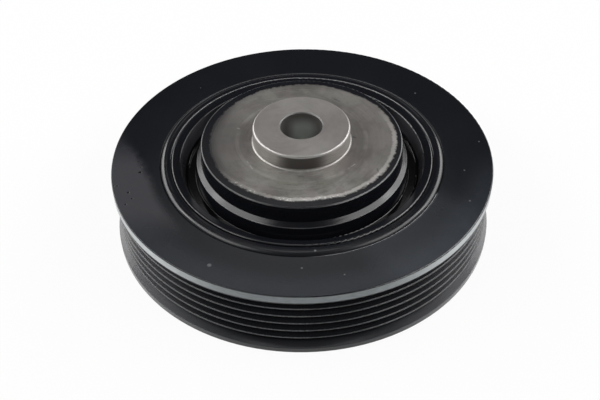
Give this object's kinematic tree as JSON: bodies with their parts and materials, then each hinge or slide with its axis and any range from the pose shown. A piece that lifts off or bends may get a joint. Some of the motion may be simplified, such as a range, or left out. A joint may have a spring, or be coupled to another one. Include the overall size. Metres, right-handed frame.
{
  "type": "crankshaft pulley",
  "caption": "Multi-groove belt pulley with a torsional damper: cast hub with a central boss and bore, bonded rubber ring and grooved iron outer ring.",
  "frame": {"origin": "on the pulley's axis, in the plane of the outer ring's back face that the part rests on", "axes": "+Z along the axis, towards the boss; X and Y across, with nothing to tell them apart"},
  "size_m": [0.1406, 0.1406, 0.0415],
  "materials": {
    "hub_paint": "black painted casting with a turned, bare grey disc and boss",
    "damper_rubber": "moulded black rubber, slight sheen",
    "ring_paint": "satin black paint on turned iron, bare at the flange's edge"
  },
  "bodies": {
    "root": {"hub": "hub_paint", "rubber_ring": "damper_rubber", "outer_ring": "ring_paint"}
  },
  "joints": []
}
